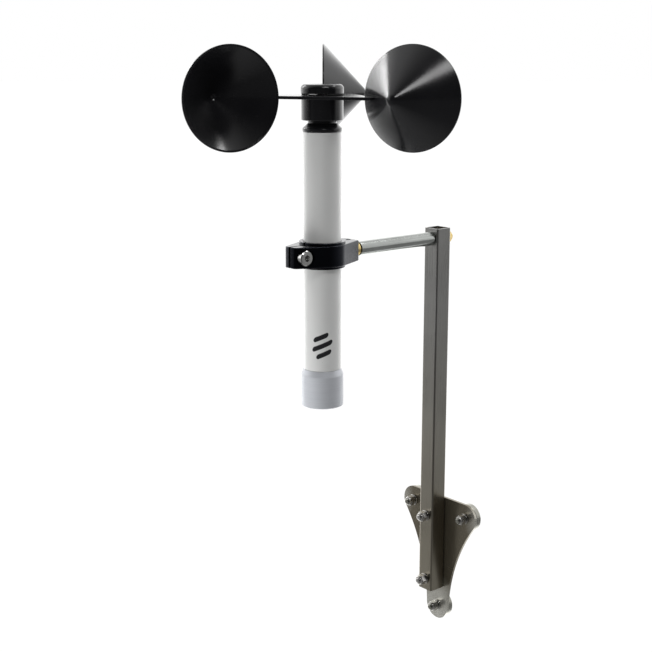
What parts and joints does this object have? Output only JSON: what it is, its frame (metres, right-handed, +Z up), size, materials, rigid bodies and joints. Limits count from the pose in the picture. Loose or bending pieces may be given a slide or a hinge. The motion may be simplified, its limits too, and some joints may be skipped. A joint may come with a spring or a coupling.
{
  "type": "cup anemometer",
  "caption": "Cup anemometer: conical cups on a flat arm plate over a tubular sensor body, held by a split clamp and a round arm on a square post with magnet feet.",
  "frame": {"origin": "centre of the lower magnet foot's face, where it meets the wall", "axes": "+Y into the wall that the feet hold, +Z up along the post and the rotor's axis, +X to the right when the wall is faced"},
  "size_m": [0.2507, 0.3264, 0.6448],
  "materials": {
    "black_plastic": "glossy moulded black",
    "grey_plastic": "satin light grey",
    "stainless": "brushed stainless",
    "aluminium": "clear anodised, fine turned",
    "black_anodised": "black anodised, satin",
    "yellow_zinc": "yellow passivated zinc on steel",
    "rubber": "matt black rubber",
    "board_green": "green solder mask",
    "cell_wrap": "printed film sleeve over the cell",
    "magnet": "plated magnet"
  },
  "bodies": {
    "bracket": {"base_plate": "stainless", "post": "stainless", "post_bolt_lower": "stainless", "post_bolt_upper": "stainless", "post_nut_lower": "stainless", "post_nut_upper": "stainless", "post_washer_lower": "stainless", "post_washer_upper": "stainless", "foot_magnet_left": "magnet", "foot_magnet_lower": "magnet", "foot_magnet_right": "magnet", "foot_nut_left": "stainless", "foot_nut_lower": "stainless", "foot_nut_right": "stainless", "foot_pot_left": "stainless", "foot_pot_lower": "stainless", "foot_pot_right": "stainless", "foot_washer_left": "stainless", "foot_washer_lower": "stainless", "foot_washer_right": "stainless", "arm_lock_nut": "yellow_zinc", "arm_sleeve": "stainless", "arm_stud": "yellow_zinc", "arm_rear_washer": "yellow_zinc", "arm_rear_nut": "yellow_zinc"},
    "clamp": {"clamp_body": "black_anodised", "clamp_screw": "stainless", "clamp_set_screw": "black_anodised"},
    "sensor": {"body_tube": "grey_plastic", "end_collar": "aluminium", "battery_cell_1": "cell_wrap", "battery_cell_2": "cell_wrap", "battery_sleeve": "grey_plastic", "contact_disc": "yellow_zinc", "circuit_board": "board_green", "board_carrier": "grey_plastic", "pickup_sensor": "black_plastic", "neck_housing": "black_plastic", "neck_ring": "rubber", "housing_circlip": "stainless", "outer_race_lower": "stainless", "outer_race_upper": "stainless", "race_spacer": "aluminium"},
    "battery_door": {"battery_cap": "aluminium", "battery_cap_ring": "rubber", "battery_spring": "stainless"},
    "rotor": {"rotor_shaft": "stainless", "shaft_circlip": "stainless", "signal_magnet": "magnet", "shaft_nut": "stainless", "shaft_sleeve": "aluminium", "inner_race_lower": "stainless", "inner_race_upper": "stainless", "rotor_hub": "black_plastic", "arm_plate": "black_plastic", "cup_1": "black_plastic", "cup_2": "black_plastic", "cup_3": "black_plastic", "cap_gasket": "rubber", "hub_cap": "black_plastic"}
  },
  "joints": [
    {"name": "clamp_swivel", "type": "hinge", "parent": "bracket", "child": "clamp", "pos_m": [0, -0.182, 0.426], "axis": [0, 1, 0], "range_deg": [-90, 90]},
    {"name": "tube_slide", "type": "slide", "parent": "clamp", "child": "sensor", "axis": [0, 0, 1], "range_m": [-0.085, 0.1]},
    {"name": "battery_cap_out", "type": "slide", "parent": "sensor", "child": "battery_door", "axis": [0, 0, -1], "range_m": [0, 0.035]},
    {"name": "rotor_spin", "type": "hinge", "parent": "sensor", "child": "rotor", "pos_m": [0, -0.182, 0.579], "axis": [0, 0, 1], "continuous": true}
  ]
}
